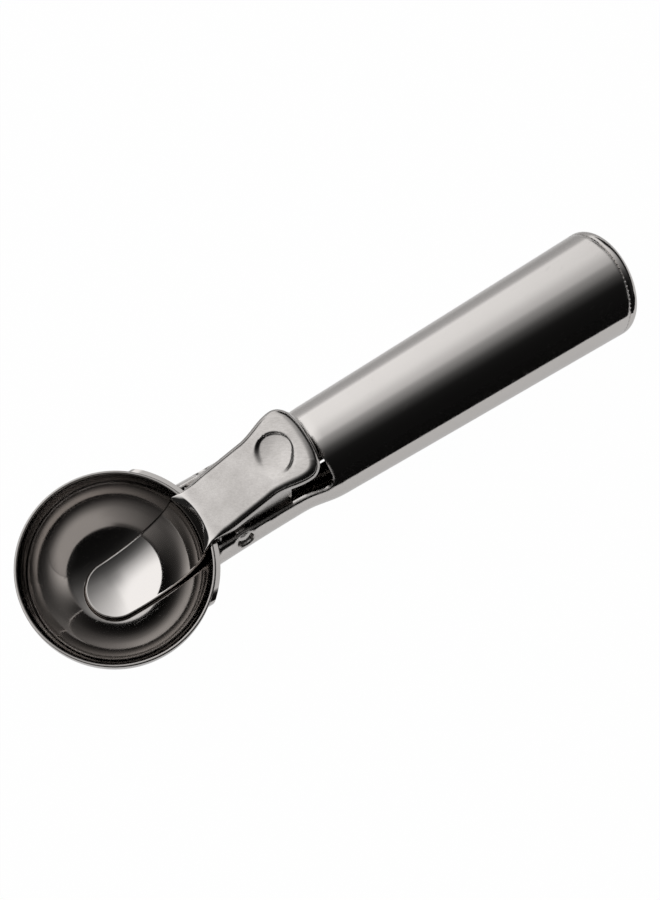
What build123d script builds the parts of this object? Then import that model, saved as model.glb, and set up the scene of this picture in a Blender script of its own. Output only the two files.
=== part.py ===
"""Lever ice cream scoop, in millimetres.

The frame: +X runs from the bowl to the end of the handle, +Z is up out of the bowl, and the part lies
on the plane Z = 0, on the bottom of its bowl and the end of its handle. The origin is on that plane,
under the middle of the part's length. Lengths called x are measured along +X from the bowl's outside at
the handle, and those called drop or height from the plane of the bowl's rim.
"""

from build123d import *
from math import cos, radians, sin, sqrt, tan
import os

os.makedirs("parts", exist_ok=True)

# Bowl
bowl_radius = 28.5
bowl_sheet = 0.9
rim_rounding = 0.35

# Saddle: a spherical plate that carries the bowl
saddle_sheet = 1.2
saddle_half_angle = 49.0
saddle_top_drop = 0.6
saddle_bottom_drop = 25.5
saddle_corner = 2.5
weld_gap = 0.05

# Handle: one sheet rolled into a tube, whose axis falls away from the rim plane
handle_sheet = 0.8
grip_drop = 8.3
grip_slope = 1.8
neck_start = -20.5
neck_front_radius = 13.9
neck_front_flare = -0.06
neck_waist_radius = 12.6
neck_waist_x = 27.5
shoulder_end_x = 40.5
shoulder_radius = 14.25
grip_end_x = 138.2
grip_end_radius = 16.2
grip_end_angle = 18.0
seam_width = 0.7
mouth_x = 38.0
mouth_corner = 3.5
neck_edge_drop = 0.8
neck_edge_slope = 3.9

# End cap: a pressed cup with a spigot in the handle
cap_sheet = 0.8
cap_depth = 3.2
cap_rounding = 2.0
cap_spigot = 5.0
cap_fit = 0.03

# Pivot
pivot_x = 7.7
pivot_drop = 4.3
rivet_radius = 1.5
rivet_fit = 0.05
rivet_head_radius = 2.45
rivet_head_edge = 0.45
rivet_head_height = 1.2
bush_radius = 2.5
bush_fit = 0.05
seat_sheet = 0.8
seat_radius = 2.8
boss_radius = 3.8

# Lever: one sheet, with thumb pad, web, ears and ejector tongue
lever_sheet = 1.0
lever_half_width = 9.35
lever_side_gap = 0.3
lever_shoulder = 2.2
web_front_x = 0.4
web_front_height = 3.2
web_slope = 34.7
pad_start_x = 18.0
pad_nose_length = 6.0
pad_end_x = 34.6
pad_end_height = 22.6
pad_end_slope = 8.0
pad_half_width = 11.5
pad_rim = 3.3
ear_front_x = 1.7
ear_rear_x = 25.1
ear_bottom_drop = 8.6
ear_corner = 4.8
dimple_place = 0.4
dimple_radius = 6.4
dimple_depth = 1.0

# Ejector tongue: the front of the lever's sheet, bent over the rim and down inside the bowl
tongue_side_gap = 1.0
tongue_floor_gap = 0.35
tongue_top_half_width = 9.0
tongue_half_width = 8.1
tongue_tip_reach = 8.6
bend_steps = 4
bend_relief = 0.02
bend_overlap = 0.4
least_curve = 0.002

# Return spring, wound on the bush
wire_radius = 0.5
spring_gap = 0.3
spring_turns = 5
spring_pitch = 1.2
spring_low_leg = 17.0
spring_low_angle = -48.0
spring_high_leg = 17.8
spring_high_angle = 52.0

# The frame
slope = radians(grip_slope)
lean = radians(grip_end_angle)
rise = radians(web_slope)
grip_taper = (grip_end_radius - shoulder_radius) / (grip_end_x - shoulder_end_x)
tip_radius = grip_end_radius / (1 - grip_taper * tan(lean))
tip_corner_x = (grip_end_x + tip_radius * tan(lean)) * cos(slope) + tip_radius * sin(slope)
tip_trim = cap_rounding * ((1 + sin(lean + slope)) / cos(lean + slope) - 1)
tip_x = tip_corner_x - tip_trim
bowl_x = -tip_x / 2
rim_x = bowl_x + bowl_radius
rim_height = bowl_radius

bowl_side = Plane(origin=(bowl_x, 0, rim_height), x_dir=(1, 0, 0), z_dir=(0, -1, 0))
bowl_back = Plane(origin=(bowl_x, 0, rim_height), x_dir=(0, 1, 0), z_dir=(1, 0, 0))
side = Plane(origin=(rim_x, 0, rim_height), x_dir=(1, 0, 0), z_dir=(0, -1, 0))
top = Plane(origin=(rim_x, 0, rim_height))
grip_side = Plane(
    origin=(rim_x, 0, rim_height - grip_drop),
    x_dir=(cos(slope), 0, -sin(slope)),
    z_dir=(0, -1, 0),
)
bowl_axis = Axis((bowl_x, 0, rim_height), (0, 0, 1))
grip_axis = Axis(grip_side.origin, grip_side.x_dir)
end_plane = Plane(
    origin=grip_side.from_local_coords((grip_end_x, 0, 0)),
    x_dir=(0, 1, 0),
    z_dir=grip_side.x_dir * cos(lean) - grip_side.y_dir * sin(lean),
)
butt_plane = end_plane.offset(-cap_depth)
pivot = Vector(rim_x + pivot_x, 0, rim_height - pivot_drop)
pivot_axis = Axis(pivot, (0, 1, 0))
pivot_section = Plane(origin=pivot, x_dir=(1, 0, 0), z_dir=(0, 0, 1))
pivot_side = Plane(origin=pivot, x_dir=(1, 0, 0), z_dir=(0, -1, 0))
saddle_inside = bowl_radius + weld_gap
saddle_outside = saddle_inside + saddle_sheet
boss_face = lever_half_width + lever_side_gap
seat_face = boss_face + seat_sheet
reach = 2 * (bowl_radius + grip_end_radius)
tube_far_x = grip_end_x + reach


# Bowl: a hemisphere of constant wall, its rim rounded
with BuildPart() as bowl:
    with BuildSketch(bowl_side):
        with BuildLine():
            CenterArc((0, 0), bowl_radius, 0, -90)
            CenterArc((0, 0), bowl_radius - bowl_sheet, 0, -90)
            Line((bowl_radius - bowl_sheet, 0), (bowl_radius, 0))
            Line((0, bowl_sheet - bowl_radius), (0, -bowl_radius))
        make_face()
    revolve(axis=bowl_axis)
    rim_edges = bowl.edges().filter_by(GeomType.CIRCLE).group_by(Axis.Z)[-1]
    fillet(rim_edges, radius=rim_rounding)
bowl.part.label = "bowl"
export_step(bowl.part, "parts/bowl.step")

# Saddle: the part of a larger sphere inside a rounded shield outline, seen along the handle
with BuildPart() as bowl_saddle:
    with BuildSketch(bowl_side):
        with BuildLine():
            CenterArc((0, 0), saddle_outside, 0, -90)
            CenterArc((0, 0), saddle_inside, 0, -90)
            Line((saddle_inside, 0), (saddle_outside, 0))
            Line((0, -saddle_inside), (0, -saddle_outside))
        make_face()
    revolve(axis=bowl_axis)
    saddle_half_width = saddle_outside * sin(radians(saddle_half_angle))
    with BuildSketch(bowl_back) as saddle_outline:
        with BuildLine():
            Line((-saddle_half_width, -saddle_top_drop), (saddle_half_width, -saddle_top_drop))
            ThreePointArc(
                (saddle_half_width, -saddle_top_drop),
                (0, -saddle_bottom_drop),
                (-saddle_half_width, -saddle_top_drop),
            )
        make_face()
        fillet(saddle_outline.vertices(), radius=saddle_corner)
    extrude(amount=reach, mode=Mode.INTERSECT)
bowl_saddle.part.label = "bowl_saddle"
export_step(bowl_saddle.part, "parts/bowl_saddle.step")


def tube_form(inset):
    """The handle tube as a solid bar, all its radii smaller by inset."""
    waist = (neck_waist_x, neck_waist_radius - inset)
    shoulder = (shoulder_end_x, shoulder_radius - inset)
    far_end = (tube_far_x, shoulder_radius - inset + grip_taper * (tube_far_x - shoulder_end_x))
    front = (neck_start, neck_front_radius - inset)
    with BuildPart() as form:
        with BuildSketch(grip_side):
            with BuildLine():
                Spline(front, waist, tangents=[(1, neck_front_flare), (1, 0)])
                Spline(waist, shoulder, tangents=[(1, 0), (1, grip_taper)])
                Line(shoulder, far_end)
                Polyline(far_end, (tube_far_x, 0), (neck_start, 0), front)
            make_face()
        revolve(axis=grip_axis)
    return form.part


def pressed_disc(radius, face):
    """A disc of metal on each side of the pivot, outside a face at a distance from the middle."""
    with BuildPart() as discs:
        with BuildSketch(pivot_side.offset(face)):
            Circle(radius)
        extrude(amount=reach)
        mirror(about=Plane.XZ)
    return discs.part


# Handle: rolled tube, cut away over the neck, fitted to the saddle and open along its seam
with BuildPart() as handle:
    add(tube_form(0))
    add(tube_form(handle_sheet) - pressed_disc(boss_radius, boss_face), mode=Mode.SUBTRACT)
    split(bisect_by=butt_plane, keep=Keep.BOTTOM)
    neck_edge_rear = neck_edge_drop + tan(radians(neck_edge_slope)) * mouth_x
    neck_edge_front = neck_edge_drop + tan(radians(neck_edge_slope)) * neck_start
    with BuildSketch(side) as neck_opening:
        with BuildLine():
            Polyline(
                (neck_start, -neck_edge_front),
                (mouth_x, -neck_edge_rear),
                (mouth_x, reach),
                (neck_start, reach),
                close=True,
            )
        make_face()
        mouth_vertex = neck_opening.vertices().group_by(Axis.X)[-1].sort_by(Axis.Y)[0]
        fillet(mouth_vertex, radius=mouth_corner)
    extrude(amount=reach, both=True, mode=Mode.SUBTRACT)
    with Locations(bowl_side.origin):
        Sphere(saddle_outside + weld_gap, mode=Mode.SUBTRACT)
    with BuildSketch(grip_side.offset(-seam_width / 2)):
        Rectangle(2 * tube_far_x, reach, align=(Align.CENTER, Align.MAX))
    extrude(amount=seam_width, mode=Mode.SUBTRACT)
    add(pressed_disc(seat_radius, seat_face), mode=Mode.SUBTRACT)
    with BuildSketch(pivot_side):
        Circle(rivet_radius + rivet_fit)
    extrude(amount=reach, both=True, mode=Mode.SUBTRACT)
handle.part.label = "handle"
export_step(handle.part, "parts/handle.step")

# End cap: the rounded end of the handle, stepped to a spigot inside the tube
with BuildPart() as cap_bore:
    add(tube_form(handle_sheet + cap_fit + cap_sheet))
    split(bisect_by=end_plane.offset(-cap_sheet), keep=Keep.BOTTOM)

with BuildPart() as cap_spigot_form:
    add(tube_form(handle_sheet + cap_fit))
    split(bisect_by=butt_plane, keep=Keep.BOTTOM)
    split(bisect_by=butt_plane.offset(-cap_spigot), keep=Keep.TOP)

with BuildPart() as end_cap:
    add(tube_form(0))
    split(bisect_by=end_plane, keep=Keep.BOTTOM)
    split(bisect_by=butt_plane, keep=Keep.TOP)
    fillet(end_cap.faces().sort_by(Axis.X)[-1].edges(), radius=cap_rounding)
    add(cap_spigot_form.part)
    add(cap_bore.part, mode=Mode.SUBTRACT)
end_cap.part.label = "end_cap"
export_step(end_cap.part, "parts/end_cap.step")

# Rivet: a shank with a domed head on each side, turned about the pivot's axis
with BuildPart() as pivot_rivet:
    with BuildSketch(pivot_section):
        with BuildLine():
            Polyline(
                (0, seat_face + rivet_head_height),
                (0, 0),
                (rivet_radius, 0),
                (rivet_radius, seat_face),
                (rivet_head_radius, seat_face),
                (rivet_head_radius, seat_face + rivet_head_edge),
            )
            TangentArc(
                (0, seat_face + rivet_head_height),
                (rivet_head_radius, seat_face + rivet_head_edge),
                tangent=(1, 0),
            )
        make_face()
        mirror(about=Plane.XZ)
    revolve(axis=pivot_axis)
pivot_rivet.part.label = "pivot_rivet"
export_step(pivot_rivet.part, "parts/pivot_rivet.step")

# Bush: a sleeve between the two pressed seats
with BuildPart() as pivot_bush:
    with BuildSketch(pivot_side):
        Circle(bush_radius)
        Circle(rivet_radius + rivet_fit, mode=Mode.SUBTRACT)
    extrude(amount=boss_face, both=True)
pivot_bush.part.label = "pivot_bush"
export_step(pivot_bush.part, "parts/pivot_bush.step")


def along(start, angle, distance):
    """The point at a distance from start, at an angle above the X direction."""
    return (start[0] + distance * cos(angle), start[1] + distance * sin(angle))


def into(point, angle, depth):
    """The point at a depth below a face that rises at an angle."""
    return along(point, angle - radians(90), depth)


pad_rise = radians(pad_end_slope)
web_front = (web_front_x, web_front_height)
pad_start = along(web_front, rise, (pad_start_x - web_front_x) / cos(rise))
pad_end = (pad_end_x, pad_end_height)
pad_widest_x = pad_end_x - pad_nose_length


def pad_line(depth):
    """The curve of the thumb pad in side view, at a depth below its top face."""
    return Spline(
        into(pad_start, rise, depth),
        into(pad_end, pad_rise, depth),
        tangents=[along((0, 0), rise, 1), along((0, 0), pad_rise, 1)],
    )


def lever_form(depth):
    """Everything below a face at a depth under the lever's top face."""
    with BuildPart() as form:
        with BuildSketch(side):
            with BuildLine():
                low_end = along(into(web_front, rise, depth), rise, -reach)
                high_end = along(into(pad_end, pad_rise, depth), pad_rise, reach)
                Line(low_end, into(pad_start, rise, depth))
                pad_line(depth)
                Polyline(
                    into(pad_end, pad_rise, depth),
                    high_end,
                    (high_end[0], -2 * reach),
                    (low_end[0], -2 * reach),
                    low_end,
                )
            make_face()
        extrude(amount=reach, both=True)
    return form.part


def lever_body(depth, shoulder):
    """The lever's form at a depth, cut to its plan outline and rounded along its top."""
    half_width = lever_half_width - depth
    pad_width = pad_half_width - depth
    with BuildPart() as body:
        add(lever_form(depth))
        with BuildSketch(top):
            with BuildLine():
                Polyline((web_front_x, 0), (web_front_x, half_width), (pad_start_x, half_width))
                Spline(
                    (pad_start_x, half_width),
                    (pad_widest_x, pad_width),
                    tangents=[(1, 0), (1, 0)],
                )
                EllipticalCenterArc(
                    (pad_widest_x, 0),
                    pad_nose_length - depth,
                    pad_width,
                    start_angle=0,
                    arc_size=90,
                )
                Line((web_front_x, 0), (pad_end_x - depth, 0))
            make_face()
            mirror(about=Plane.XZ)
        extrude(amount=reach, both=True, mode=Mode.INTERSECT)
        upper_edges = body.edges().filter_by_position(Axis.Z, rim_height, rim_height + reach)
        across = upper_edges.filter_by(Axis.Y)
        upright = upper_edges.filter_by(Axis.Z)
        fillet(upper_edges - across - upright, radius=shoulder)
    return body.part


# The middle of the dimple, on the pad's top face
dimple_middle = pad_line(0) @ dimple_place
dimple_facing = pad_line(0) % dimple_place
dimple_angle = radians(dimple_facing.get_angle(Vector(1, 0)))
dimple_ball = (dimple_radius**2 + dimple_depth**2) / (2 * dimple_depth)
ball_middle = into((dimple_middle.X, dimple_middle.Y), dimple_angle, dimple_depth - dimple_ball)
ball_place = side.from_local_coords((ball_middle[0], ball_middle[1], 0))


with BuildPart() as dimple_form:
    with Locations(ball_place):
        Sphere(dimple_ball, rotation=(90, 0, 0))

with BuildPart() as dimple_under_form:
    with Locations(ball_place):
        Sphere(dimple_ball + lever_sheet, rotation=(90, 0, 0))

# The tongue hugs a sphere a little below the bowl's own, so that it leaves the rim clear as it rises
tongue_drop = tongue_side_gap - tongue_floor_gap
tongue_back = bowl_radius - bowl_sheet - tongue_side_gap
tongue_face = tongue_back - lever_sheet
tongue_centre = bowl_side.from_local_coords((0, -tongue_drop, 0))
tongue_top = (tongue_face - bowl_radius, -tongue_drop)
bend_rise = cos(rise) * (web_front_height + tongue_drop)
bend_radius = (bend_rise - sin(rise) * (web_front_x - tongue_top[0])) / (1 - sin(rise))
bend_centre = (tongue_top[0] + bend_radius, -tongue_drop)


# The bend's own sheet is a hair thinner than the web and the tongue that it runs into
bend_sheet = lever_sheet - 2 * bend_relief
bend_shoulder = lever_shoulder - bend_relief
web_flat = lever_half_width - lever_shoulder
web_back = web_flat + sqrt(bend_shoulder**2 - (bend_shoulder - bend_sheet) ** 2)
web_chord = sqrt((web_back - web_flat) ** 2 + bend_sheet**2)
web_bulge = bend_shoulder - sqrt(bend_shoulder**2 - web_chord**2 / 4)
bend_half_width = tongue_top_half_width - bend_relief


def bend_section(place, angle, bent):
    """Section of the bend at a place on its face, flat where bent is 0 and round where it is 1."""
    face_curve = tongue_face / max(bent, least_curve)
    back_curve = face_curve + bend_sheet
    face_half = web_flat + bent * (bend_half_width - web_flat)
    back_half = web_back + bent * (bend_half_width - web_back)
    face_end = Vector(face_half, face_curve - sqrt(face_curve**2 - face_half**2))
    back_end = Vector(back_half, face_curve - sqrt(back_curve**2 - back_half**2))
    bulge = max(web_bulge * (1 - bent), least_curve)
    outward = Vector(face_end.Y - back_end.Y, back_end.X - face_end.X).normalized()
    corner = (face_end + back_end) / 2 + outward * bulge
    travel = side.from_local_coords(along((0, 0), angle, 1)) - side.origin
    origin = side.from_local_coords(into(place, angle, bend_relief))
    with BuildSketch(Plane(origin, x_dir=(0, 1, 0), z_dir=travel)) as section:
        with BuildLine():
            ThreePointArc((-face_end.X, face_end.Y), (0, 0), face_end)
            ThreePointArc(face_end, corner, back_end)
            ThreePointArc(back_end, (0, -bend_sheet), (-back_end.X, back_end.Y))
            ThreePointArc((-back_end.X, back_end.Y), (-corner.X, corner.Y), (-face_end.X, face_end.Y))
        make_face()
    return section.sketch


# Bend: from inside the flat web over the rim into the round tongue
turn = radians(90) - rise
bend_start = along(bend_centre, rise + radians(90), bend_radius)
bend_straight = (web_front_x - bend_start[0]) / cos(rise)
bend_length = bend_straight + bend_radius * turn
with BuildPart() as lever_bend:
    add(bend_section(along(web_front, rise, bend_overlap), rise, 0))
    for step in range(bend_steps + 1):
        angle = rise + turn * step / bend_steps
        share = (bend_straight + bend_radius * (angle - rise)) / bend_length
        place = along(bend_centre, angle + radians(90), bend_radius)
        add(bend_section(place, angle, share**2 * (3 - 2 * share)))
    add(bend_section(along(tongue_top, radians(90), -bend_overlap), radians(90), 1))
    loft()

# Tongue: a round-ended strip of a sphere
with BuildPart() as lever_tongue:
    with Locations(tongue_centre):
        Sphere(tongue_back, rotation=(90, 0, 0))
        Sphere(tongue_face, rotation=(90, 0, 0), mode=Mode.SUBTRACT)
    tip_centre_x = tongue_half_width - tongue_tip_reach
    taper_length = sqrt(tongue_face**2 - tongue_top_half_width**2) - tip_centre_x
    taper = (tongue_top_half_width - tongue_half_width) / taper_length
    strip_half_width = tongue_half_width + taper * (bowl_radius - tip_centre_x)
    with BuildSketch(Plane(tongue_centre)):
        with BuildLine():
            Polyline(
                (tip_centre_x, tongue_half_width),
                (bowl_radius, strip_half_width),
                (bowl_radius, -strip_half_width),
                (tip_centre_x, -tongue_half_width),
            )
            CenterArc((tip_centre_x, 0), tongue_half_width, 90, 180)
        make_face()
    extrude(amount=-bowl_radius, mode=Mode.INTERSECT)

# Ears: the space of the lever's two cheeks, which hang on the bush, inside its outer faces
with BuildPart() as ear_space:
    with BuildSketch(side) as ear_outline:
        with BuildLine():
            Polyline(
                (ear_front_x, -ear_bottom_drop),
                (ear_rear_x, -ear_bottom_drop),
                (ear_rear_x, reach),
                (ear_front_x, reach),
                close=True,
            )
        make_face()
        fillet(ear_outline.vertices().group_by(Axis.Y)[0], radius=ear_corner)
    extrude(amount=reach, both=True)
    with BuildSketch(side):
        Rectangle(4 * reach, 4 * reach)
    extrude(amount=lever_half_width - lever_sheet, both=True, mode=Mode.SUBTRACT)

# What is cut away below the depth of the pad's rim, beside and between the ears
with BuildPart() as below_rim:
    add(lever_form(pad_rim))
    with BuildSketch(side):
        Rectangle(4 * reach, 4 * reach)
    ears = extrude(amount=lever_half_width, both=True, mode=Mode.PRIVATE)
    add(ears & ear_space.part, mode=Mode.SUBTRACT)

# What is cut away under the sheet, between the ears
with BuildPart() as lever_hollow:
    add(lever_body(lever_sheet, lever_shoulder - lever_sheet))
    add(dimple_under_form.part, mode=Mode.SUBTRACT)
    add(ear_space.part, mode=Mode.SUBTRACT)

# Lever: one sheet with its rim, dimple and ears, and the bend and tongue that run on from it
with BuildPart() as lever:
    add(lever_body(0, lever_shoulder))
    add(dimple_form.part, mode=Mode.SUBTRACT)
    add(lever_hollow.part, mode=Mode.SUBTRACT)
    add(below_rim.part, mode=Mode.SUBTRACT)
    web_under = into(web_front, rise, lever_sheet)
    ear_meet = along(web_under, rise, (ear_front_x - web_under[0]) / cos(rise))
    with BuildSketch(side):
        with BuildLine():
            Polyline(
                into(web_front, rise, -lever_shoulder),
                web_under,
                ear_meet,
                (ear_front_x, -reach),
                (-reach, -reach),
                (-reach, web_front_height),
                close=True,
            )
        make_face()
    extrude(amount=reach, both=True, mode=Mode.SUBTRACT)
    add(lever_bend.part)
    add(lever_tongue.part)
    with BuildSketch(pivot_side):
        Circle(bush_radius + bush_fit)
    extrude(amount=boss_face, both=True, mode=Mode.SUBTRACT)
lever.part.label = "lever"
export_step(lever.part, "parts/lever.step")

# Return spring: a coil round the bush, one leg on the handle and one under the lever
coil_radius = bush_radius + spring_gap + wire_radius
coil_start = radians(spring_low_angle - 90)
coil_turns = spring_turns + ((spring_low_angle - spring_high_angle - 180) % 360) / 360
coil_length = spring_pitch * coil_turns
coil_plane = Plane(
    origin=pivot - Vector(0, coil_length / 2, 0),
    x_dir=(cos(coil_start), 0, sin(coil_start)),
    z_dir=(0, 1, 0),
)
coil = coil_plane.from_local_coords(Helix(spring_pitch, coil_length, coil_radius))
with BuildPart() as return_spring:
    low_end = coil @ 0 - (coil % 0) * spring_low_leg
    with BuildLine():
        Line(low_end, coil @ 0)
        add(coil)
        Line(coil @ 1, coil @ 1 + (coil % 1) * spring_high_leg)
    with BuildSketch(Plane(low_end, z_dir=coil % 0)):
        Circle(wire_radius)
    sweep()
return_spring.part.label = "return_spring"
export_step(return_spring.part, "parts/return_spring.step")
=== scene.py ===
"""Lever ice cream scoop in polished stainless steel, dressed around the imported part, in metres."""

from math import asin, cos, pi, radians, sin, sqrt, tan

import bpy
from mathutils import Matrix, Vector


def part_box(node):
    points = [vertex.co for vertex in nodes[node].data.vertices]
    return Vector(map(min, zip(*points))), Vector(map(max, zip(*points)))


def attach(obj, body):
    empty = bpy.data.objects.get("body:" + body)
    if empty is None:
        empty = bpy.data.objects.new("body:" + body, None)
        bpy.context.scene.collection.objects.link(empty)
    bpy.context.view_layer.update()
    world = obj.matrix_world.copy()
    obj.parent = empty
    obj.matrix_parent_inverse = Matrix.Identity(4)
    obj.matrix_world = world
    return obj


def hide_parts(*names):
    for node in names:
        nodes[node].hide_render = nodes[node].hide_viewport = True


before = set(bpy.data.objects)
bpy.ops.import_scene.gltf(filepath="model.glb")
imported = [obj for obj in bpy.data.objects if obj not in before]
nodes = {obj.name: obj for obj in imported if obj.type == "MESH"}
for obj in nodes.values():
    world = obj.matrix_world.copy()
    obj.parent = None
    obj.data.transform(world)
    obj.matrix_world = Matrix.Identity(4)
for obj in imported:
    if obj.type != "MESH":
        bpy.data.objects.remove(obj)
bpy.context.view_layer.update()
bpy.ops.object.select_all(action="DESELECT")


# Camera: it looks down on the scoop from over the bowl, as far away as a long lens needs.
bowl_low, bowl_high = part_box("bowl")
bowl_x = (bowl_low.x + bowl_high.x) / 2
rim_height = bowl_high.z
camera_from_bowl = Vector((-0.12078, -0.24245, 1.16086))
camera_tilt = (14.6812, -1.5783, -32.5524)
bpy.ops.object.camera_add(
    location=Vector((bowl_x, 0, rim_height)) + camera_from_bowl,
    rotation=[radians(angle) for angle in camera_tilt],
)
camera = bpy.context.object
camera.name = "camera"
camera.data.lens = 168.92
camera.data.sensor_width = 36
camera.data.clip_start = 0.01
camera.data.clip_end = 20
bpy.context.scene.camera = camera
bpy.context.scene.view_settings.view_transform = "Standard"


# Backdrop behind everything: plain white paper, which the camera and the polished metal both see.
def add_node(tree, kind, settings=None, values=None, links=None):
    """Adds a node with its settings, the values of its sockets and what is linked into them."""
    node = tree.nodes.new(kind)
    for name, value in (settings or {}).items():
        setattr(node, name, value)
    for name, value in (values or {}).items():
        node.inputs[name].default_value = value
    for name, socket in (links or {}).items():
        tree.links.new(socket, node.inputs[name])
    return node


world = bpy.data.worlds.new("studio_room")
bpy.context.scene.world = world
world.use_nodes = True
tree = world.node_tree
tree.nodes.clear()
paper = add_node(
    tree, "ShaderNodeBackground", values={"Color": (1, 1, 1, 1), "Strength": 1.0}
)
add_node(tree, "ShaderNodeOutputWorld", links={"Surface": paper.outputs["Background"]})


# Light tent: a dome of cloth round the table, lit from behind on its -X and +Y side. It fades
# over the top to black velvet on its -Y side, so that polished steel shows one soft, long fade.
def new_material(name):
    """A material with an empty node tree."""
    material = bpy.data.materials.new(name)
    material.use_nodes = True
    material.node_tree.nodes.clear()
    return material


tent_radius = 1.5
# Brightness of the cloth across the table and along it, as shares of tent_level
tent_level = 3.125
tent_across = [
    (-1, 0.0048),
    (-0.57, 0.0064),
    (-0.43, 0.024),
    (-0.28, 0.06),
    (-0.2, 0.104),
    (-0.12, 0.16),
    (0.04, 0.304),
    (0.2, 0.464),
    (0.35, 0.608),
    (0.5, 0.72),
    (0.63, 0.84),
    (0.74, 0.912),
    (1, 0.96),
]
tent_along = [
    (-1, 0.76),
    (-0.88, 0.8),
    (-0.63, 0.88),
    (-0.28, 0.76),
    (0, 0.56),
    (0.12, 0.42),
    (0.32, 0.328),
    (0.66, 0.26),
    (1, 0.16),
]
bpy.ops.mesh.primitive_uv_sphere_add(radius=tent_radius, segments=96, ring_count=48)
tent = bpy.context.object
tent.name = "light_tent"
bpy.ops.object.shade_smooth()
tent_cloth = new_material("tent_cloth")
tree = tent_cloth.node_tree
place = add_node(tree, "ShaderNodeTexCoord")
sides = add_node(
    tree, "ShaderNodeSeparateXYZ", links={"Vector": place.outputs["Object"]}
)
fades = []
for side, steps in (("Y", tent_across), ("X", tent_along)):
    share = add_node(
        tree,
        "ShaderNodeMapRange",
        values={"From Min": -tent_radius, "From Max": tent_radius},
        links={"Value": sides.outputs[side]},
    )
    fade = add_node(tree, "ShaderNodeValToRGB", links={"Fac": share.outputs["Result"]})
    ramp = fade.color_ramp
    ramp.interpolation = "B_SPLINE"
    while len(ramp.elements) < len(steps):
        ramp.elements.new(0.5)
    for element, (step, level) in zip(ramp.elements, steps):
        element.position = (step + 1) / 2
        element.color = (level, level, level, 1)
    fades.append(fade.outputs["Color"])
bright_half = add_node(
    tree,
    "ShaderNodeMapRange",
    {"interpolation_type": "SMOOTHSTEP"},
    values={"From Min": -0.42 * tent_radius, "From Max": 0.04 * tent_radius},
    links={"Value": sides.outputs["Y"]},
)
along_share = add_node(
    tree,
    "ShaderNodeMix",
    values={"A": 0.4},
    links={"Factor": bright_half.outputs["Result"], "B": fades[1]},
)
light = add_node(
    tree,
    "ShaderNodeMath",
    {"operation": "MULTIPLY"},
    links={0: fades[0], 1: along_share.outputs["Result"]},
)
light = add_node(
    tree,
    "ShaderNodeMath",
    {"operation": "MULTIPLY"},
    values={1: tent_level},
    links={0: light.outputs[0]},
)
# The hood round the lens takes a little light from the top
lens_side = add_node(
    tree,
    "ShaderNodeVectorMath",
    {"operation": "MULTIPLY_ADD"},
    values={1: (1, 1, 0), 2: (0.02 * tent_radius, 0.05 * tent_radius, 0)},
    links={0: place.outputs["Object"]},
)
lens_away = add_node(
    tree, "ShaderNodeVectorMath", {"operation": "LENGTH"}, links={0: lens_side.outputs[0]}
)
hood = add_node(
    tree,
    "ShaderNodeMapRange",
    {"interpolation_type": "SMOOTHSTEP"},
    values={
        "From Min": 0.0,
        "From Max": 0.32 * tent_radius,
        "To Min": 0.75,
        "To Max": 1.0,
    },
    links={"Value": lens_away.outputs["Value"]},
)
hooded = add_node(
    tree,
    "ShaderNodeMath",
    {"operation": "MULTIPLY"},
    links={0: light.outputs[0], 1: hood.outputs["Result"]},
)
fade = add_node(
    tree,
    "ShaderNodeMath",
    {"operation": "SMOOTH_MIN"},
    values={1: 1.2, 2: 0.3},
    links={0: hooded.outputs[0]},
)
# Two velvet flags: one low on the bowl's side, one behind the end of the handle
front = add_node(
    tree,
    "ShaderNodeMapRange",
    {"interpolation_type": "SMOOTHSTEP"},
    values={"From Min": -0.25 * tent_radius, "From Max": -0.6 * tent_radius},
    links={"Value": sides.outputs["X"]},
)
low = add_node(
    tree,
    "ShaderNodeMapRange",
    {"interpolation_type": "SMOOTHSTEP"},
    values={"From Min": 0.34 * tent_radius, "From Max": 0.2 * tent_radius},
    links={"Value": sides.outputs["Z"]},
)
skirt = add_node(
    tree,
    "ShaderNodeMath",
    {"operation": "MULTIPLY"},
    links={0: front.outputs["Result"], 1: low.outputs["Result"]},
)
back = add_node(
    tree,
    "ShaderNodeMapRange",
    {"interpolation_type": "SMOOTHSTEP"},
    values={"From Min": 0.28 * tent_radius, "From Max": 0.5 * tent_radius},
    links={"Value": sides.outputs["X"]},
)
under = add_node(
    tree,
    "ShaderNodeMapRange",
    {"interpolation_type": "SMOOTHSTEP"},
    values={"From Min": 0.66 * tent_radius, "From Max": 0.5 * tent_radius},
    links={"Value": sides.outputs["Z"]},
)
dark = add_node(
    tree,
    "ShaderNodeMath",
    {"operation": "MULTIPLY_ADD"},
    links={0: back.outputs["Result"], 1: under.outputs["Result"], 2: skirt.outputs[0]},
)
cloth = add_node(
    tree,
    "ShaderNodeMix",
    {"data_type": "RGBA"},
    values={7: (0.02, 0.02, 0.02, 1)},
    links={0: dark.outputs[0], 6: fade.outputs[0]},
)
glow = add_node(tree, "ShaderNodeEmission", links={"Color": cloth.outputs[2]})
add_node(tree, "ShaderNodeOutputMaterial", links={"Surface": glow.outputs["Emission"]})
tent.data.materials.append(tent_cloth)
tent.visible_camera = False
tent.visible_shadow = False


# Black card: a board of matt black card that stands on the table beside the handle, and keeps the
# table beyond it out of the handle's -Y side.
card_place = (0.02, -0.072, 0.02)
bpy.ops.mesh.primitive_plane_add(size=1, location=card_place, rotation=(radians(90), 0, 0))
card = bpy.context.object
card.name = "black_card"
card.scale = (0.3, 0.04, 1)
bpy.ops.object.transform_apply()
card_black = new_material("black_card_board")
tree = card_black.node_tree
board = add_node(tree, "ShaderNodeBsdfDiffuse", values={"Color": (0.012, 0.012, 0.012, 1)})
add_node(tree, "ShaderNodeOutputMaterial", links={"Surface": board.outputs[0]})
card.data.materials.append(card_black)
card.visible_camera = False
card.visible_shadow = False
card.visible_diffuse = False


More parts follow.
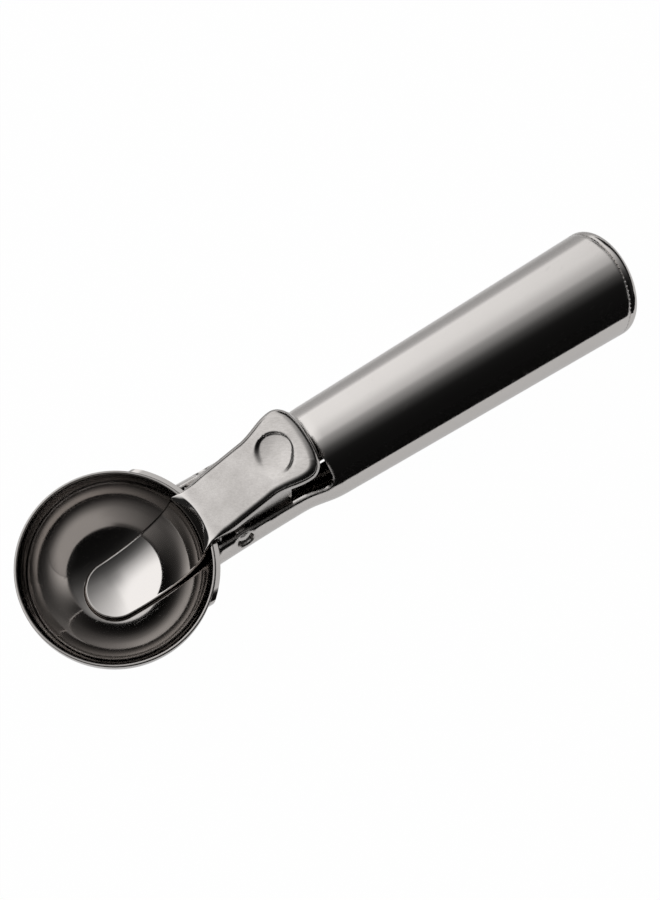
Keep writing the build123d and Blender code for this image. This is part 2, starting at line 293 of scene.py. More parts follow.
# Table: a white sweep of paper that the scoop lies on. The camera sees it plain white. The steel sees
# it greyer close by on the +Y side: painted shade, where the paper's white is taken away by position
# for the scoop's shadow.
def srgb(code):
    """An sRGB hex colour as the linear colour that a shader takes."""
    parts = [int(code[i : i + 2], 16) / 255 for i in (1, 3, 5)]
    linear = [p / 12.92 if p <= 0.04045 else ((p + 0.055) / 1.055) ** 2.4 for p in parts]
    return (*linear, 1)


bpy.ops.mesh.primitive_circle_add(
    vertices=96, radius=4.0, fill_type="NGON", location=(0, 0, -0.0002)
)
table = bpy.context.object
table.name = "table"
table_paper = new_material("white_table_paper")
tree = table_paper.node_tree
paper_face = add_node(tree, "ShaderNodeBsdfDiffuse", values={"Color": srgb("#F4F4F4")})
paper_white = add_node(tree, "ShaderNodeEmission", values={"Strength": 1.0})
path = add_node(tree, "ShaderNodeLightPath")
sides = add_node(
    tree,
    "ShaderNodeSeparateXYZ",
    links={"Vector": add_node(tree, "ShaderNodeTexCoord").outputs["Object"]},
)
# Painted shade: the white that the steel sees drops by position in a band on the +Y side, for the
# scoop's shadow
white_share_with_painted_shade = add_node(
    tree,
    "ShaderNodeMapRange",
    {"interpolation_type": "SMOOTHSTEP"},
    values={"From Min": 0.01, "From Max": 0.06, "To Min": 0.5, "To Max": 0.0},
    links={"Value": sides.outputs["Y"]},
)
# Farther out on the +Y side the painted shade fades and the white comes back
white_past_painted_shade = add_node(
    tree,
    "ShaderNodeMapRange",
    values={"From Min": 0.03, "From Max": 0.4, "To Min": 0.0, "To Max": 0.8},
    links={"Value": sides.outputs["Y"]},
)
white_share_with_painted_shade = add_node(
    tree,
    "ShaderNodeMath",
    {"operation": "MAXIMUM"},
    links={0: white_share_with_painted_shade.outputs["Result"], 1: white_past_painted_shade.outputs["Result"]},
)
mirrored = add_node(
    tree,
    "ShaderNodeMath",
    {"operation": "MULTIPLY"},
    links={0: path.outputs["Is Glossy Ray"], 1: white_share_with_painted_shade.outputs[0]},
)
white_share = add_node(
    tree,
    "ShaderNodeMath",
    {"operation": "MULTIPLY_ADD"},
    values={1: 0.99},
    links={0: path.outputs["Is Camera Ray"], 2: mirrored.outputs[0]},
)
paper_mix = add_node(
    tree,
    "ShaderNodeMixShader",
    links={
        0: white_share.outputs[0],
        1: paper_face.outputs[0],
        2: paper_white.outputs[0],
    },
)
add_node(tree, "ShaderNodeOutputMaterial", links={"Surface": paper_mix.outputs[0]})
table.data.materials.append(table_paper)


# Bowl: spun from stainless steel sheet, 0.9 mm thick, with a rounded rim, and mirror polished inside
# and out. It is welded into the saddle behind it. The spinning leaves rings round its axis.
ring_spacing = 2.2
fine_ring_spacing = 0.5
bowl_smear_size = 11
bowl_scratch_width = 0.6
# Spun, mirror polished stainless steel: rings and smears bend what it mirrors, and the mop's track
# blurs it toward the rim. Scratches a few hundredths wide are drawn as wide as they need to show.
spun_steel = new_material("spun_mirror_polished_stainless_steel")
tree = spun_steel.node_tree
place = add_node(tree, "ShaderNodeTexCoord")
from_axis = add_node(
    tree,
    "ShaderNodeMapping",
    {"vector_type": "TEXTURE"},
    values={"Location": (bowl_x, 0, rim_height)},
    links={"Vector": place.outputs["Object"]},
)
level = add_node(
    tree,
    "ShaderNodeVectorMath",
    {"operation": "MULTIPLY"},
    values={1: (1, 1, 0)},
    links={0: from_axis.outputs[0]},
)
away = add_node(tree, "ShaderNodeVectorMath", {"operation": "LENGTH"}, links={0: level.outputs[0]})
round_axis = add_node(tree, "ShaderNodeCombineXYZ", links={"X": away.outputs["Value"]})
rings = add_node(
    tree,
    "ShaderNodeTexNoise",
    values={"Scale": 1000 / ring_spacing, "Detail": 1},
    links={"Vector": round_axis.outputs[0]},
)
fine_rings = add_node(
    tree,
    "ShaderNodeTexNoise",
    values={"Scale": 1000 / fine_ring_spacing, "Detail": 3},
    links={"Vector": round_axis.outputs[0]},
)
smears = add_node(
    tree,
    "ShaderNodeTexNoise",
    values={"Scale": 1000 / bowl_smear_size, "Detail": 2},
    links={"Vector": from_axis.outputs[0]},
)
long_place = add_node(
    tree,
    "ShaderNodeVectorMath",
    {"operation": "MULTIPLY"},
    values={1: (0.04, 1, 1)},
    links={0: from_axis.outputs[0]},
)
long_marks = add_node(
    tree,
    "ShaderNodeTexNoise",
    values={"Scale": 1000 / bowl_scratch_width, "Detail": 1},
    links={"Vector": long_place.outputs[0]},
)
scratches = add_node(
    tree,
    "ShaderNodeMapRange",
    values={"From Min": 0.68, "From Max": 0.74, "To Min": 0, "To Max": 1},
    links={"Value": long_marks.outputs["Fac"]},
)
smear_blur = add_node(
    tree,
    "ShaderNodeMapRange",
    values={"From Min": 0.3, "From Max": 0.7, "To Min": 0.05, "To Max": 0.1},
    links={"Value": smears.outputs["Fac"]},
)
blur = add_node(
    tree,
    "ShaderNodeMath",
    {"operation": "MULTIPLY_ADD"},
    values={1: 0.1},
    links={0: scratches.outputs["Result"], 2: smear_blur.outputs["Result"]},
)
sides = add_node(tree, "ShaderNodeSeparateXYZ", links={"Vector": from_axis.outputs[0]})
rim_blur = add_node(
    tree,
    "ShaderNodeMapRange",
    values={"From Min": -0.009, "From Max": -0.001, "To Min": 0, "To Max": 0.09},
    links={"Value": sides.outputs["Z"]},
)
roughness = add_node(
    tree,
    "ShaderNodeMath",
    {"operation": "ADD"},
    links={0: blur.outputs[0], 1: rim_blur.outputs["Result"]},
)
ring_relief = add_node(
    tree,
    "ShaderNodeBump",
    values={"Strength": 1, "Distance": 0.000006},
    links={"Height": rings.outputs["Fac"]},
)
relief = add_node(
    tree,
    "ShaderNodeBump",
    values={"Strength": 1, "Distance": 0.0000015},
    links={"Height": fine_rings.outputs["Fac"], "Normal": ring_relief.outputs["Normal"]},
)
tint = add_node(
    tree,
    "ShaderNodeMix",
    {"data_type": "RGBA"},
    values={6: srgb("#AEAAA7"), 7: srgb("#B7B3B0")},
    links={0: smears.outputs["Fac"]},
)
face = add_node(
    tree,
    "ShaderNodeBsdfPrincipled",
    values={"Metallic": 1},
    links={
        "Base Color": tint.outputs[2],
        "Roughness": roughness.outputs[0],
        "Normal": relief.outputs["Normal"],
    },
)
add_node(tree, "ShaderNodeOutputMaterial", links={"Surface": face.outputs[0]})
nodes["bowl"].data.materials.clear()
nodes["bowl"].data.materials.append(spun_steel)


# Saddle, handle tube and end cap: stainless steel sheet, 0.8 to 1.2 mm thick. The saddle is pressed
# and welded to bowl and handle, the tube rolled with an open seam below, and the cap pressed into it.
wipe_width = 0.7
smear_size = 14
scratch_width = 0.8
scratch_turn = 28
rolled_blend = 1.6


# Mirror polished stainless steel: clear, with faint wiping marks and a few hairline scratches, which
# are drawn wider than real ones so that they show.
def mirror_polished(name, blend_radius=0):
    """Mirror polished steel, whose faces the polishing blends into each other over a radius in mm."""
    material = new_material(name)
    tree = material.node_tree
    place = add_node(tree, "ShaderNodeTexCoord")
    wipe_place = add_node(
        tree,
        "ShaderNodeVectorMath",
        {"operation": "MULTIPLY"},
        values={1: (0.05, 1, 1)},
        links={0: place.outputs["Object"]},
    )
    wipes = add_node(
        tree,
        "ShaderNodeTexNoise",
        values={"Scale": 1000 / wipe_width, "Detail": 2},
        links={"Vector": wipe_place.outputs[0]},
    )
    smears = add_node(
        tree,
        "ShaderNodeTexNoise",
        values={"Scale": 1000 / smear_size, "Detail": 2},
        links={"Vector": place.outputs["Object"]},
    )
    turned_place = add_node(
        tree,
        "ShaderNodeMapping",
        {"vector_type": "TEXTURE"},
        values={"Rotation": (0, 0, radians(scratch_turn))},
        links={"Vector": place.outputs["Object"]},
    )
    scratch_place = add_node(
        tree,
        "ShaderNodeVectorMath",
        {"operation": "MULTIPLY"},
        values={1: (0.06, 1, 1)},
        links={0: turned_place.outputs[0]},
    )
    scratch_marks = add_node(
        tree,
        "ShaderNodeTexNoise",
        values={"Scale": 1000 / scratch_width, "Detail": 0},
        links={"Vector": scratch_place.outputs[0]},
    )
    scratches = add_node(
        tree,
        "ShaderNodeMapRange",
        values={"From Min": 0.76, "From Max": 0.8, "To Min": 0, "To Max": 1},
        links={"Value": scratch_marks.outputs["Fac"]},
    )
    smear_blur = add_node(
        tree,
        "ShaderNodeMapRange",
        values={"From Min": 0.3, "From Max": 0.7, "To Min": 0.055, "To Max": 0.085},
        links={"Value": smears.outputs["Fac"]},
    )
    roughness = add_node(
        tree,
        "ShaderNodeMath",
        {"operation": "MULTIPLY_ADD"},
        values={1: 0.12},
        links={0: scratches.outputs["Result"], 2: smear_blur.outputs["Result"]},
    )
    wipe_links = {"Height": wipes.outputs["Fac"]}
    if blend_radius:
        blended = add_node(
            tree, "ShaderNodeBevel", {"samples": 8}, values={"Radius": blend_radius / 1000}
        )
        wipe_links["Normal"] = blended.outputs["Normal"]
    wipe_relief = add_node(
        tree,
        "ShaderNodeBump",
        values={"Strength": 1, "Distance": 0.0000012},
        links=wipe_links,
    )
    relief = add_node(
        tree,
        "ShaderNodeBump",
        values={"Strength": 1, "Distance": 0.000004},
        links={"Height": smears.outputs["Fac"], "Normal": wipe_relief.outputs["Normal"]},
    )
    tint = add_node(
        tree,
        "ShaderNodeMix",
        {"data_type": "RGBA"},
        values={6: srgb("#D0CCC9"), 7: srgb("#D5D1CE")},
        links={0: smears.outputs["Fac"]},
    )
    face = add_node(
        tree,
        "ShaderNodeBsdfPrincipled",
        values={"Metallic": 1},
        links={
            "Base Color": tint.outputs[2],
            "Roughness": roughness.outputs[0],
            "Normal": relief.outputs["Normal"],
        },
    )
    add_node(tree, "ShaderNodeOutputMaterial", links={"Surface": face.outputs[0]})
    return material


pressed_steel = mirror_polished("mirror_polished_stainless_steel")
tube_steel = mirror_polished("mirror_polished_stainless_steel_tube", rolled_blend)
for name, steel in (
    ("bowl_saddle", pressed_steel),
    ("handle", tube_steel),
    ("end_cap", pressed_steel),
):
    nodes[name].data.materials.clear()
    nodes[name].data.materials.append(steel)


# Pivot rivet and bush: stainless steel bar, turned on a lathe. The rivet goes through the neck and
# the bush, and its ends are set into domed heads. The lever's ears turn on the bush.
def mm(x, y, z):
    """A place in millimetres from the middle of the bowl's rim."""
    return Vector((bowl_x + x / 1000, y / 1000, rim_height + z / 1000))


pivot_place = Vector((36.2, 0, -4.3))
lathe_spacing = 0.2
# Turned stainless steel: fine lathe rings round the axis, which blur what it mirrors
turned_steel = new_material("turned_stainless_steel")
tree = turned_steel.node_tree
place = add_node(tree, "ShaderNodeTexCoord")
from_axis = add_node(
    tree,
    "ShaderNodeMapping",
    {"vector_type": "TEXTURE"},
    values={"Location": mm(*pivot_place)},
    links={"Vector": place.outputs["Object"]},
)
level = add_node(
    tree,
    "ShaderNodeVectorMath",
    {"operation": "MULTIPLY"},
    values={1: (1, 0, 1)},
    links={0: from_axis.outputs[0]},
)
away = add_node(tree, "ShaderNodeVectorMath", {"operation": "LENGTH"}, links={0: level.outputs[0]})
round_axis = add_node(tree, "ShaderNodeCombineXYZ", links={"X": away.outputs["Value"]})
lathe_rings = add_node(
    tree,
    "ShaderNodeTexNoise",
    values={"Scale": 1000 / lathe_spacing, "Detail": 2},
    links={"Vector": round_axis.outputs[0]},
)
roughness = add_node(
    tree,
    "ShaderNodeMapRange",
    values={"From Min": 0.3, "From Max": 0.7, "To Min": 0.2, "To Max": 0.3},
    links={"Value": lathe_rings.outputs["Fac"]},
)
relief = add_node(
    tree,
    "ShaderNodeBump",
    values={"Strength": 1, "Distance": 0.000004},
    links={"Height": lathe_rings.outputs["Fac"]},
)
tint = add_node(
    tree,
    "ShaderNodeMix",
    {"data_type": "RGBA"},
    values={6: srgb("#C9C5C2"), 7: srgb("#DBD7D4")},
    links={0: lathe_rings.outputs["Fac"]},
)
face = add_node(
    tree,
    "ShaderNodeBsdfPrincipled",
    values={"Metallic": 1},
    links={
        "Base Color": tint.outputs[2],
        "Roughness": roughness.outputs["Result"],
        "Normal": relief.outputs["Normal"],
    },
)
add_node(tree, "ShaderNodeOutputMaterial", links={"Surface": face.outputs[0]})
for name in ("pivot_rivet", "pivot_bush"):
    nodes[name].data.materials.clear()
    nodes[name].data.materials.append(turned_steel)


# Lever: one sheet of stainless steel, 1 mm thick, pressed with its ears folded down and then satin
# polished. Its thumb pad and web have a rim turned down all round, and run over the bowl's edge into
# the thin tongue that frees the ice cream. It hangs on the bush by its ears.
def ease(value, start, end):
    """Rises smoothly from 0 at start to 1 at end."""
    share = min(max((value - start) / (end - start), 0), 1)
    return share * share * (3 - 2 * share)


sheet = 1.0
# Tongue: its outer face lies on a ball, just inside the bowl
tongue_ball = 25.6
tongue_low = -0.65
tongue_width = 8.1
tongue_top_width = 9.0
tip_middle = -0.5
tip_x = -8.6
tip_end_x = -4.3
# Ridge where the tongue turns over into the web
ridge_radius = 28.0
ridge_width = 8.35
ridge_lift = 0.35
ridge_bow = 1.28
# Web and thumb pad
web_front = 26.5
web_point_x = 28.9
web_point_z = 3.2
web_slope = tan(radians(34.7))
pad_start = 46.5
pad_end = 63.1
pad_end_z = 22.6
pad_end_rise = tan(radians(8))
nose_start = 57.1
nose_power = 2.4
nose_turn = 42


def face_z(x):
    """Height of the web and of the pad's crown."""
    if x < pad_start:
        return web_point_z + (x - web_point_x) * web_slope
    run = pad_end - pad_start
    s = (x - pad_start) / run
    start_z = web_point_z + (pad_start - web_point_x) * web_slope
    return (
        (2 * s**3 - 3 * s**2 + 1) * start_z
        + (s**3 - 2 * s**2 + s) * run * web_slope
        + (3 * s**2 - 2 * s**3) * pad_end_z
        + (s**3 - s**2) * run * pad_end_rise
    )


def shoulder(x):
    """Radius of the turned edge."""
    return 0.3 + 1.6 * ease(x, web_front, 32) + 0.5 * ease(x, 44, 54)


def outer_width(x):
    """Half of the lever's width over its turned edges."""
    return ridge_width + 0.9 * ease(x, web_front, 33) + 2.1 * ease(x, 46, nose_start)


def tongue_z(x, y):
    """Height of the tongue's outer face."""
    return tongue_low - sqrt(max(tongue_ball**2 - x * x - y * y, 0))


def arc_row(x_middle, x_side, half_width, z_of):
    """Adds a row of points across the lever, on a true arc through its middle and its two ends."""
    bow = x_side - x_middle
    row = []
    for share in shares:
        y = half_width * share
        if abs(bow) < 1e-4:
            x = x_middle
        else:
            radius = (bow * bow + half_width**2) / (2 * abs(bow))
            x = x_middle + (radius - sqrt(radius**2 - y * y)) * (1 if bow > 0 else -1)
        row.append(Vector((x, y, z_of(x, y))))
    rows.append(row)


columns = 64
shares = [2 * i / columns - 1 for i in range(columns + 1)]
rows = []

# The rounded tip
tip_rows = 8
for step in range(tip_rows):
    t = step / tip_rows
    angle = radians(135 - 45 * t)
    arc_row(
        tip_x + (tip_end_x - tip_x) * t,
        tip_middle + tongue_width * cos(angle),
        tongue_width * sin(angle),
        tongue_z,
    )

# The tongue, up the inside of the bowl to its rim
tongue_rows = 40
side_ball = sqrt(tongue_ball**2 - tongue_top_width**2)
first_middle = asin(tip_end_x / tongue_ball)
first_side = asin(tip_middle / sqrt(tongue_ball**2 - tongue_width**2))
for step in range(tongue_rows + 1):
    t = step / tongue_rows
    x_middle = tongue_ball * sin(first_middle + (pi / 2 - first_middle) * t)
    side = sin(first_side + (pi / 2 - first_side) * t)
    widening = (side * side_ball - tip_middle) / (side_ball - tip_middle)
    width = tongue_width + (tongue_top_width - tongue_width) * widening
    arc_row(x_middle, side * sqrt(tongue_ball**2 - width**2), width, tongue_z)

# The turn over the bowl's edge, up to the ridge
top_row = rows[-1]
ridge_row = []
for share in shares:
    y = (ridge_width - 0.3) * share
    x = sqrt(ridge_radius**2 - y * y)
    ridge_row.append(Vector((x, y, face_z(x))))
for t in (0.12, 0.25, 0.4, 0.6, 0.8, 0.93, 1.0):
    row = []
    for low, high in zip(top_row, ridge_row):
        turn = low + Vector((0, 0, ridge_lift))
        row.append(low * (1 - t) ** 2 + turn * 2 * t * (1 - t) + high * t * t)
    rows.append(row)

# The web and the pad, closest together where they turn most
x = ridge_radius + 0.12
while x < nose_start:
    bow = ridge_bow * (1 - ease(x, ridge_radius, 40))
    arc_row(x, x - bow, outer_width(x - bow) - shoulder(x - bow), lambda at_x, at_y: face_z(at_x))
    x += 0.3 if x < 29 else 0.8 if x < 45 else 0.3

# The pad's rounded nose
nose_rows = 10
nose_run = pad_end - nose_start - shoulder(nose_start)
nose_width = outer_width(nose_start) - shoulder(nose_start)
for step in range(nose_rows + 1):
    t = step / nose_rows
    angle = radians(90 - nose_turn * t)
    x_side = nose_start + nose_run * cos(angle) ** (2 / nose_power)
    x_middle = nose_start + nose_run * t
    half_width = nose_width * sin(angle) ** (2 / nose_power)
    full = (1 - (half_width / nose_width) ** nose_power) ** (1 / nose_power)
    row = []
    for share in shares:
        y = half_width * share
        reach = (1 - abs(y / nose_width) ** nose_power) ** (1 / nose_power)
        side_share = 0 if full > 0.9999 else (1 - reach) / (1 - full)
        x = x_middle + (x_side - x_middle) * side_share
        row.append(Vector((x, y, face_z(x))))
    rows.append(row)
count = len(rows)


def row_normal(i, j):
    """Outward direction of the face at a point of a row."""
    along = rows[min(i + 1, count - 1)][j] - rows[max(i - 1, 0)][j]
    across = rows[i][min(j + 1, columns)] - rows[i][max(j - 1, 0)]
    return along.cross(across).normalized()


# The dimple: a hollow for the thumb, crisp at its upper side, which runs out toward the web
dimple_x = 52.8
dimple_y = -0.2
dimple_radius = 6.6
dimple_slope = radians(24)
normals = [[row_normal(i, j) for j in range(columns + 1)] for i in range(count)]
crown = Vector((dimple_x, dimple_y, face_z(dimple_x)))
points = []
for i in range(count):
    for j in range(columns + 1):
        point = rows[i][j].copy()
        away = point - crown
        if away.length < dimple_radius and point.x > pad_start - 2:
            along = away.x / cos(dimple_slope) / dimple_radius
            reach = away.length / dimple_radius
            depth = 0.4 * (1 - along**2) + 0.42 * (1 - reach**2) + 0.26
            crisp = (0.84 * away.y + 0.54 * away.x) / max(away.length, 0.1)
            softness = 2.4 - 1.8 * ease(crisp, -0.2, 0.9)
            depth *= 1 - ease(away.length, dimple_radius - softness, dimple_radius)
            point -= normals[i][j] * depth
        points.append(point)


def at(i, j):
    """Number of a point of a row."""
    return i * (columns + 1) + j


faces = [
    (at(i, j), at(i + 1, j), at(i + 1, j + 1), at(i, j + 1))
    for i in range(count - 1)
    for j in range(columns)
]

# The rim: the sheet's edge is turned down all round, over a shoulder and a short skirt
edge = [(i, 0) for i in range(count)]
edge += [(count - 1, j) for j in range(1, columns + 1)]
edge += [(i, columns) for i in range(count - 2, -1, -1)]
edge += [(0, j) for j in range(columns - 1, 0, -1)]
turns = 6
draft = radians(4)
rings = [[at(i, j) for i, j in edge]]
for step in range(1, turns + 2):
    ring = []
    for k, (i, j) in enumerate(edge):
        before_i, before_j = edge[k - 1]
        after_i, after_j = edge[(k + 1) % len(edge)]
        normal = normals[i][j]
        along = rows[after_i][after_j] - rows[before_i][before_j]
        outward = along.cross(normal).normalized()
        start = rows[i][j]
        radius = shoulder(start.x)
        angle = (pi / 2 - draft) * min(step, turns) / turns
        point = start + outward * radius * sin(angle) - normal * radius * (1 - cos(angle))
        if step > turns:
            skirt = 0.25 + 0.8 * ease(start.x, web_front, 29.5)
            down = outward * sin(draft) - normal * cos(draft)
            point = point + down * skirt
        ring.append(len(points))
        points.append(point)
    rings.append(ring)
for low, high in zip(rings, rings[1:]):
    size = len(low)
    for k in range(size):
        faces.append((low[k], high[k], high[(k + 1) % size], low[(k + 1) % size]))


def sheet_piece(name, piece_points, piece_faces):
    """A pressed piece of the lever's sheet, given its outer face in millimetres."""
    mesh = bpy.data.meshes.new(name)
    mesh.from_pydata([mm(*point) for point in piece_points], [], piece_faces)
    piece = bpy.data.objects.new(name, mesh)
    bpy.context.collection.objects.link(piece)
    thickness = piece.modifiers.new("sheet", "SOLIDIFY")
    thickness.thickness = sheet / 1000
    thickness.offset = -1
    bpy.context.view_layer.objects.active = piece
    bpy.ops.object.modifier_apply(modifier="sheet")
    return piece


lever = sheet_piece("lever_sheet", points, faces)

# The ears: cheeks folded down under the web. They step in below a fold, so as to go into the neck.
ear_front = 28.6
ear_corner_end = 30.2
ear_toe_end = 35
ear_toe_radius = 4.8
ear_heel_start = 50.4
ear_heel_radius = 3.2
ear_back = 53.6
ear_bottom = -8.6
ear_heel_drop = 0.8
ear_face = 9.3
ear_top_lean = 1.5
ear_step_in = 0.6
ear_spacing = 0.2
ear_bore = 2.55
bpy.ops.mesh.primitive_cylinder_add(
    vertices=64,
    radius=ear_bore / 1000,
    depth=0.03,
    location=mm(*pivot_place),
    rotation=(radians(90), 0, 0),
)
punch = bpy.context.object
bpy.ops.object.select_all(action="DESELECT")
ears = []
for side in (-1, 1):
    ear_points = []
    ear_faces = []
    x = ear_front
    while x <= ear_back:
        top_z = face_z(x) - 1.3
        if x < ear_corner_end:
            low_z = 1.2 - 1.6 * (x - ear_front)
        elif x < ear_toe_end:
            low_z = ear_bottom + ear_toe_radius - sqrt(ear_toe_radius**2 - (ear_toe_end - x) ** 2)
        elif x < ear_heel_start:
            low_z = ear_bottom - ear_heel_drop * (x - ear_toe_end) / (ear_heel_start - ear_toe_end)
        else:
            heel_z = sqrt(max(ear_heel_radius**2 - (x - ear_heel_start) ** 2, 0))
            low_z = ear_bottom - ear_heel_drop + ear_heel_radius - heel_z
        fold_z = max(min(-1.2 - 0.26 * (x - web_front - 0.1), top_z - 0.2), low_z + 0.05)
        ear_points += [
            Vector((x, side * (ear_face - ear_top_lean), top_z)),
            Vector((x, side * ear_face, fold_z)),
            Vector((x, side * (ear_face - ear_step_in), fold_z - 0.02)),
            Vector((x, side * (ear_face - ear_step_in - 0.1), low_z - 0.02)),
        ]
        x += ear_spacing
    for k in range(len(ear_points) // 4 - 1):
        for step in range(3):
            low = 4 * k + step
            ear_strip = (low, low + 1, low + 5, low + 4)
            ear_faces.append(ear_strip if side < 0 else ear_strip[::-1])
    ear = sheet_piece("lever_ear", ear_points, ear_faces)
    bore = ear.modifiers.new("pivot_bore", "BOOLEAN")
    bore.operation = "DIFFERENCE"
    bore.object = punch
    bpy.ops.object.modifier_apply(modifier="pivot_bore")
    ears.append(ear)
bpy.data.objects.remove(punch)
bpy.ops.object.select_all(action="DESELECT")
for piece in [lever, *ears]:
    piece.select_set(True)
bpy.context.view_layer.objects.active = lever
bpy.ops.object.join()
bpy.ops.object.shade_smooth_by_angle(angle=radians(32))
bevel = lever.modifiers.new("sheared_edges", "BEVEL")
bevel.width = 0.00012
bevel.segments = 2
bevel.limit_method = "ANGLE"
bevel.angle_limit = radians(60)
bevel.harden_normals = True
bpy.ops.object.modifier_apply(modifier="sheared_edges")

# Satin polished stainless steel: the belt leaves lines and clouds on the web and the pad, and the
# tongue mirror bright. The lines are a few hundredths wide, and drawn wider so that they show.
line_width = 0.45
line_turn = -25
cloud_size = 7
satin_steel = new_material("satin_polished_stainless_steel")
tree = satin_steel.node_tree
place = add_node(tree, "ShaderNodeTexCoord")
line_place = add_node(
    tree,
    "ShaderNodeMapping",
    {"vector_type": "TEXTURE"},
    values={"Location": (bowl_x, 0, rim_height), "Rotation": (0, 0, radians(line_turn))},
    links={"Vector": place.outputs["Object"]},
)
long_place = add_node(
    tree,
    "ShaderNodeVectorMath",
    {"operation": "MULTIPLY"},
    values={1: (0.08, 1, 1)},
    links={0: line_place.outputs[0]},
)
lines = add_node(
    tree,
    "ShaderNodeTexNoise",
    values={"Scale": 1000 / line_width, "Detail": 3},
    links={"Vector": long_place.outputs[0]},
)
clouds = add_node(
    tree,
    "ShaderNodeTexNoise",
    values={"Scale": 1000 / cloud_size, "Detail": 2},
    links={"Vector": place.outputs["Object"]},
)
sides = add_node(tree, "ShaderNodeSeparateXYZ", links={"Vector": place.outputs["Object"]})
satin_share = add_node(
    tree,
    "ShaderNodeMapRange",
    {"interpolation_type": "SMOOTHSTEP"},
    values={"From Min": bowl_x + 0.026, "From Max": bowl_x + 0.0295, "To Min": 0, "To Max": 1},
    links={"Value": sides.outputs["X"]},
)
cloud_blur = add_node(
    tree,
    "ShaderNodeMapRange",
    values={"From Min": 0.3, "From Max": 0.7, "To Min": 0.13, "To Max": 0.17},
    links={"Value": clouds.outputs["Fac"]},
)
satin_blur = add_node(
    tree,
    "ShaderNodeMath",
    {"operation": "MULTIPLY_ADD"},
    values={1: 0.06},
    links={0: lines.outputs["Fac"], 2: cloud_blur.outputs["Result"]},
)
roughness = add_node(
    tree,
    "ShaderNodeMix",
    {"data_type": "FLOAT"},
    values={2: 0.05},
    links={0: satin_share.outputs["Result"], 3: satin_blur.outputs[0]},
)
line_height = add_node(
    tree,
    "ShaderNodeMath",
    {"operation": "MULTIPLY"},
    links={0: lines.outputs["Fac"], 1: satin_share.outputs["Result"]},
)
line_relief = add_node(
    tree,
    "ShaderNodeBump",
    values={"Strength": 1, "Distance": 0.000006},
    links={"Height": line_height.outputs[0]},
)
relief = add_node(
    tree,
    "ShaderNodeBump",
    values={"Strength": 1, "Distance": 0.000012},
    links={"Height": clouds.outputs["Fac"], "Normal": line_relief.outputs["Normal"]},
)
cloud_tone = add_node(
    tree,
    "ShaderNodeMapRange",
    values={"From Min": 0.35, "From Max": 0.65, "To Min": 0, "To Max": 0.6},
    links={"Value": clouds.outputs["Fac"]},
)
line_tone = add_node(
    tree,
    "ShaderNodeMapRange",
    values={"From Min": 0.35, "From Max": 0.65, "To Min": 0, "To Max": 0.4},
    links={"Value": lines.outputs["Fac"]},
)
tone = add_node(
    tree,
    "ShaderNodeMath",
    {"operation": "ADD"},
    links={0: cloud_tone.outputs["Result"], 1: line_tone.outputs["Result"]},
)
satin_tint = add_node(
    tree,
    "ShaderNodeMix",
    {"data_type": "RGBA"},
    values={6: srgb("#B1ADAA"), 7: srgb("#CBC7C4")},
    links={0: tone.outputs[0]},
)
tint = add_node(
    tree,
    "ShaderNodeMix",
    {"data_type": "RGBA"},
    values={6: srgb("#DEDAD7")},
    links={0: satin_share.outputs["Result"], 7: satin_tint.outputs[2]},
)
face = add_node(
    tree,
    "ShaderNodeBsdfPrincipled",
    values={"Metallic": 1},
    links={
        "Base Color": tint.outputs[2],
        "Roughness": roughness.outputs[0],
        "Normal": relief.outputs["Normal"],
    },
)
add_node(tree, "ShaderNodeOutputMaterial", links={"Surface": face.outputs[0]})
nodes["lever"].data.materials.clear()
nodes["lever"].data.materials.append(satin_steel)
lever.data.materials.append(satin_steel)
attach(lever, "lever")
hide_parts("lever")


# Return spring: five turns of hard drawn steel wire round the bush. One leg rests in the handle and
# the other bears up under the lever. The free leg and its last turn swing with the lever.
wire_radius = 0.5
coil_radius = 3.3
coil_pitch = 1.2
coil_turns = 5 + 80 / 360
fixed_leg = 17.0
free_leg = 17.8
coil_start = radians(-138)
swinging_turn = 90
press_travel = 24
draw_mark_size = 0.3
# Drawn spring steel wire: bright, slightly greyer than the sheet, with marks from the drawing die
wire_steel = new_material("drawn_spring_steel_wire")
tree = wire_steel.node_tree
place = add_node(tree, "ShaderNodeTexCoord")
draw_marks = add_node(
    tree,
    "ShaderNodeTexNoise",
    values={"Scale": 1000 / draw_mark_size, "Detail": 2},
    links={"Vector": place.outputs["Object"]},
)
roughness = add_node(
    tree,
    "ShaderNodeMapRange",
    values={"From Min": 0.3, "From Max": 0.7, "To Min": 0.14, "To Max": 0.3},
    links={"Value": draw_marks.outputs["Fac"]},
)
relief = add_node(
    tree,
    "ShaderNodeBump",
    values={"Strength": 1, "Distance": 0.000002},
    links={"Height": draw_marks.outputs["Fac"]},
)
tint = add_node(
    tree,
    "ShaderNodeMix",
    {"data_type": "RGBA"},
    values={6: srgb("#A9A5A1"), 7: srgb("#C4C0BC")},
    links={0: draw_marks.outputs["Fac"]},
)
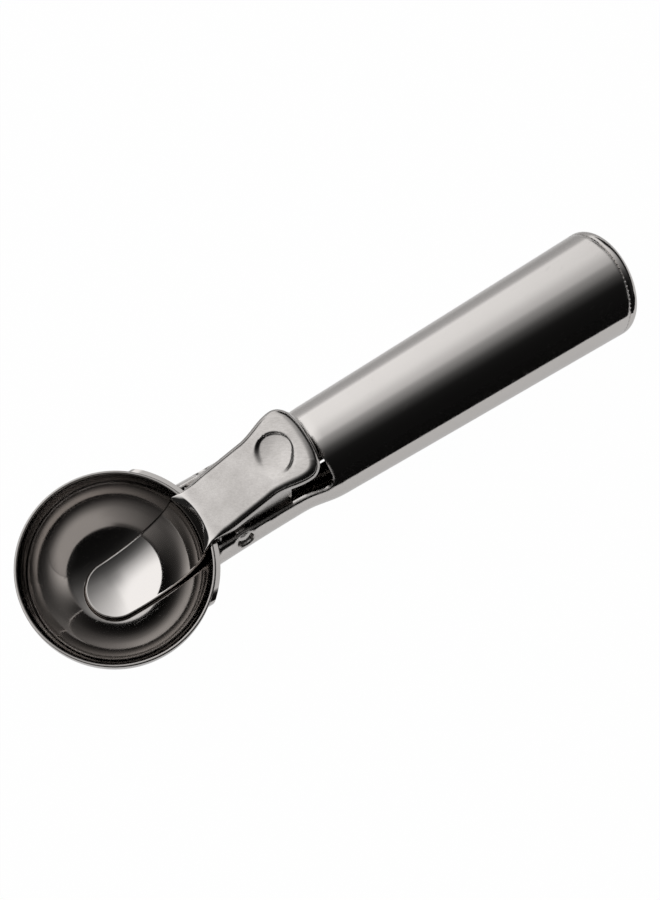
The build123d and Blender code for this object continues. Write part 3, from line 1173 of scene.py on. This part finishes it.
face = add_node(
    tree,
    "ShaderNodeBsdfPrincipled",
    values={"Metallic": 1},
    links={
        "Base Color": tint.outputs[2],
        "Roughness": roughness.outputs["Result"],
        "Normal": relief.outputs["Normal"],
    },
)
add_node(tree, "ShaderNodeOutputMaterial", links={"Surface": face.outputs[0]})
nodes["return_spring"].data.materials.clear()
nodes["return_spring"].data.materials.append(wire_steel)


def coil_point(turned):
    """Where the middle of the wire is after an angle in degrees round the coil."""
    angle = coil_start - radians(turned)
    across = (turned / 360 - coil_turns / 2) * coil_pitch
    return pivot_place + Vector((coil_radius * cos(angle), across, coil_radius * sin(angle)))


def bent_wire(name, first, last, pieces, first_leg, last_leg, body):
    """A stretch of the spring between two angles, with a straight leg at either end, on a body."""
    route = [coil_point(first + (last - first) * k / pieces) for k in range(pieces + 1)]
    if first_leg:
        route.insert(0, route[0] + (route[0] - route[1]).normalized() * first_leg)
    if last_leg:
        route.append(route[-1] + (route[-1] - route[-2]).normalized() * last_leg)
    line = bpy.data.curves.new(name, "CURVE")
    line.dimensions = "3D"
    line.bevel_depth = wire_radius / 1000
    line.bevel_resolution = 4
    line.use_fill_caps = True
    spline = line.splines.new("POLY")
    spline.points.add(len(route) - 1)
    for point, place in zip(spline.points, route):
        point.co = (*mm(*place), 1)
    piece = bpy.data.objects.new(name, line)
    bpy.context.collection.objects.link(piece)
    bpy.ops.object.select_all(action="DESELECT")
    piece.select_set(True)
    bpy.context.view_layer.objects.active = piece
    bpy.ops.object.convert(target="MESH")
    piece = bpy.context.object
    bpy.ops.object.shade_smooth_by_angle(angle=radians(40))
    piece.data.materials.clear()
    piece.data.materials.append(wire_steel)
    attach(piece, body)
    return piece


whole = 360 * coil_turns
coil_end = whole - swinging_turn
coil_piece = bent_wire("spring_coil_and_fixed_leg", 0, coil_end, 180, fixed_leg, 0, "root")
leg_start = coil_end - press_travel
leg_piece = bent_wire("spring_free_leg", leg_start, whole, 72, 0, free_leg, "lever")
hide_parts("return_spring")
